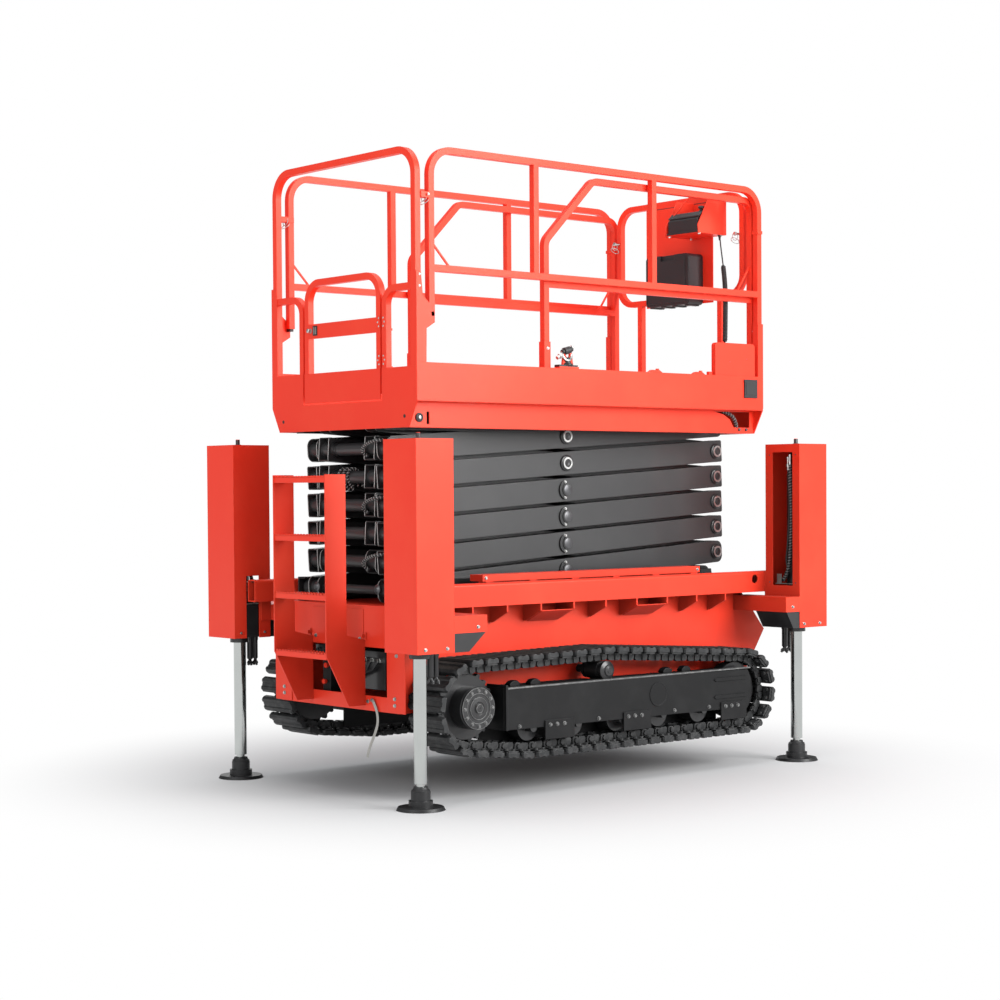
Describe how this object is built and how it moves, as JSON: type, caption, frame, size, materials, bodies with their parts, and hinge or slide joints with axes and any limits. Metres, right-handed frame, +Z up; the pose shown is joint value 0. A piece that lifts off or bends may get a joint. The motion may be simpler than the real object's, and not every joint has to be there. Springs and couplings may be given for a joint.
{
  "type": "crawler scissor lift",
  "caption": "Self-propelled tracked scissor work platform standing on four hydraulic legs, with a stacked scissor, guarded deck, sliding deck extension and swing gate.",
  "frame": {"origin": "middle of the machine's outline on the floor, under the foot pads", "axes": "+X forward towards the control end, +Y left, +Z up"},
  "size_m": [2.62, 1.588, 2.834],
  "materials": {
    "arm_black": "semi-gloss black paint",
    "black_plastic": "moulded plastic",
    "black_steel": "satin black paint",
    "chrome_rod": "ground chrome",
    "cord_black": "rubber sheath",
    "red_paint": "satin red paint",
    "strap": "braided metal strap",
    "track_steel": "dark steel"
  },
  "bodies": {
    "chassis": {"base_pivot": "black_steel", "chassis_body": "red_paint", "chassis_deck": "red_paint", "earth_strap": "strap", "ladder": "red_paint", "leg_barrels": "black_steel", "leg_brackets": "red_paint", "leg_gussets": "black_steel", "leg_housing_front_left": "red_paint", "leg_housing_front_right": "red_paint", "leg_housing_rear_left": "red_paint", "leg_housing_rear_right": "red_paint", "slide_channels": "black_steel", "track_frame_left": "black_steel", "track_frame_right": "black_steel", "track_left": "track_steel", "track_right": "track_steel", "track_wheels_left": "black_steel", "track_wheels_right": "black_steel"},
    "platform": {"platform_frame": "red_paint", "platform_channels": "red_paint", "side_rail_left": "red_paint", "side_rail_right": "red_paint", "rear_rail": "red_paint", "platform_fittings": "red_paint", "socket_plate": "red_paint", "control_cord": "cord_black"},
    "extension": {"extension_deck": "red_paint", "extension_rail_left": "red_paint", "extension_rail_right": "red_paint", "front_rail": "red_paint", "control_plate": "red_paint", "control_box": "black_plastic", "carrying_case": "black_plastic"},
    "gate": {"gate": "red_paint"},
    "leg_front_left": {"leg_rod_front_left": "chrome_rod", "foot_pad_front_left": "black_steel"},
    "leg_front_right": {"leg_rod_front_right": "chrome_rod", "foot_pad_front_right": "black_steel"},
    "leg_rear_left": {"leg_rod_rear_left": "chrome_rod", "foot_pad_rear_left": "black_steel"},
    "leg_rear_right": {"leg_rod_rear_right": "chrome_rod", "foot_pad_rear_right": "black_steel"},
    "inner_1": {"inner_arms_1": "arm_black"},
    "outer_1": {"outer_arms_1": "arm_black"},
    "inner_2": {"inner_arms_2": "arm_black"},
    "outer_2": {"outer_arms_2": "arm_black"},
    "inner_3": {"inner_arms_3": "arm_black"},
    "outer_3": {"outer_arms_3": "arm_black"},
    "inner_4": {"inner_arms_4": "arm_black"},
    "outer_4": {"outer_arms_4": "arm_black"},
    "inner_5": {"inner_arms_5": "arm_black"},
    "outer_5": {"outer_arms_5": "arm_black"},
    "inner_6": {"inner_arms_6": "arm_black"},
    "outer_6": {"outer_arms_6": "arm_black"},
    "lift_barrel_1": {"lift_barrel_1": "black_steel"},
    "lift_rod_1": {"lift_rod_1": "chrome_rod"},
    "lift_barrel_2": {"lift_barrel_2": "black_steel"},
    "lift_rod_2": {"lift_rod_2": "chrome_rod"}
  },
  "joints": [
    {"name": "scissor_lift", "type": "hinge", "parent": "chassis", "child": "inner_1", "pos_m": [1.033, 0, 0.906], "axis": [0, 1, 0], "range_deg": [0, 46.46]},
    {"name": "cross_1", "type": "hinge", "parent": "inner_1", "child": "outer_1", "pos_m": [0.01495, 0, 0.969], "axis": [0, -1, 0], "range_deg": [0, 92.93]},
    {"name": "knee_1", "type": "hinge", "parent": "outer_1", "child": "inner_2", "pos_m": [1.033, 0, 1.032], "axis": [0, 1, 0], "range_deg": [0, 92.93]},
    {"name": "cross_2", "type": "hinge", "parent": "inner_2", "child": "outer_2", "pos_m": [0.01495, 0, 1.095], "axis": [0, -1, 0], "range_deg": [0, 92.93]},
    {"name": "knee_2", "type": "hinge", "parent": "outer_2", "child": "inner_3", "pos_m": [1.033, 0, 1.158], "axis": [0, 1, 0], "range_deg": [0, 92.93]},
    {"name": "cross_3", "type": "hinge", "parent": "inner_3", "child": "outer_3", "pos_m": [0.01495, 0, 1.221], "axis": [0, -1, 0], "range_deg": [0, 92.93]},
    {"name": "knee_3", "type": "hinge", "parent": "outer_3", "child": "inner_4", "pos_m": [1.033, 0, 1.284], "axis": [0, 1, 0], "range_deg": [0, 92.93]},
    {"name": "cross_4", "type": "hinge", "parent": "inner_4", "child": "outer_4", "pos_m": [0.01495, 0, 1.347], "axis": [0, -1, 0], "range_deg": [0, 92.93]},
    {"name": "knee_4", "type": "hinge", "parent": "outer_4", "child": "inner_5", "pos_m": [1.033, 0, 1.41], "axis": [0, 1, 0], "range_deg": [0, 92.93]},
    {"name": "cross_5", "type": "hinge", "parent": "inner_5", "child": "outer_5", "pos_m": [0.01495, 0, 1.473], "axis": [0, -1, 0], "range_deg": [0, 92.93]},
    {"name": "knee_5", "type": "hinge", "parent": "outer_5", "child": "inner_6", "pos_m": [1.033, 0, 1.536], "axis": [0, 1, 0], "range_deg": [0, 92.93]},
    {"name": "cross_6", "type": "hinge", "parent": "inner_6", "child": "outer_6", "pos_m": [0.01495, 0, 1.599], "axis": [0, -1, 0], "range_deg": [0, 92.93]},
    {"name": "platform_hinge", "type": "hinge", "parent": "outer_6", "child": "platform", "pos_m": [1.033, 0, 1.662], "axis": [0, 1, 0], "range_deg": [0, 46.47]},
    {"name": "lift_barrel_1_hinge", "type": "hinge", "parent": "inner_2", "child": "lift_barrel_1", "pos_m": [0.11412, 0, 1.01372], "axis": [0, -1, 0], "range_deg": [0, 91.54]},
    {"name": "lift_rod_1_slide", "type": "slide", "parent": "lift_barrel_1", "child": "lift_rod_1", "axis": [0.9655, 0, 0.2602], "range_m": [0, 0.36156]},
    {"name": "lift_barrel_2_hinge", "type": "hinge", "parent": "inner_4", "child": "lift_barrel_2", "pos_m": [0.11412, 0, 1.26572], "axis": [0, -1, 0], "range_deg": [0, 91.54]},
    {"name": "lift_rod_2_slide", "type": "slide", "parent": "lift_barrel_2", "child": "lift_rod_2", "axis": [0.9655, 0, 0.2602], "range_m": [0, 0.36156]},
    {"name": "extension_slide", "type": "slide", "parent": "platform", "child": "extension", "axis": [1, 0, 0], "range_m": [0, 0.9]},
    {"name": "gate_swing", "type": "hinge", "parent": "platform", "child": "gate", "pos_m": [-1.027, -0.291, 2.003], "axis": [0, 0, -1], "range_deg": [0, 90]},
    {"name": "leg_front_left_slide", "type": "slide", "parent": "chassis", "child": "leg_front_left", "axis": [0, 0, 1], "range_m": [-0.03, 0.44]},
    {"name": "leg_front_right_slide", "type": "slide", "parent": "chassis", "child": "leg_front_right", "axis": [0, 0, 1], "range_m": [-0.03, 0.44]},
    {"name": "leg_rear_left_slide", "type": "slide", "parent": "chassis", "child": "leg_rear_left", "axis": [0, 0, 1], "range_m": [-0.03, 0.44]},
    {"name": "leg_rear_right_slide", "type": "slide", "parent": "chassis", "child": "leg_rear_right", "axis": [0, 0, 1], "range_m": [-0.03, 0.44]}
  ],
  "couplings": [
    {"joint": "cross_1", "follows": "scissor_lift", "ratio": 2},
    {"joint": "knee_1", "follows": "scissor_lift", "ratio": 2},
    {"joint": "cross_2", "follows": "scissor_lift", "ratio": 2},
    {"joint": "knee_2", "follows": "scissor_lift", "ratio": 2},
    {"joint": "cross_3", "follows": "scissor_lift", "ratio": 2},
    {"joint": "knee_3", "follows": "scissor_lift", "ratio": 2},
    {"joint": "cross_4", "follows": "scissor_lift", "ratio": 2},
    {"joint": "knee_4", "follows": "scissor_lift", "ratio": 2},
    {"joint": "cross_5", "follows": "scissor_lift", "ratio": 2},
    {"joint": "knee_5", "follows": "scissor_lift", "ratio": 2},
    {"joint": "cross_6", "follows": "scissor_lift", "ratio": 2},
    {"joint": "platform_hinge", "follows": "scissor_lift", "ratio": 1},
    {"joint": "lift_barrel_1_hinge", "follows": "scissor_lift", "ratio": 1.97},
    {"joint": "lift_rod_1_slide", "follows": "scissor_lift", "m_per_rad": 0.44528},
    {"joint": "lift_barrel_2_hinge", "follows": "scissor_lift", "ratio": 1.97},
    {"joint": "lift_rod_2_slide", "follows": "scissor_lift", "m_per_rad": 0.44528}
  ]
}
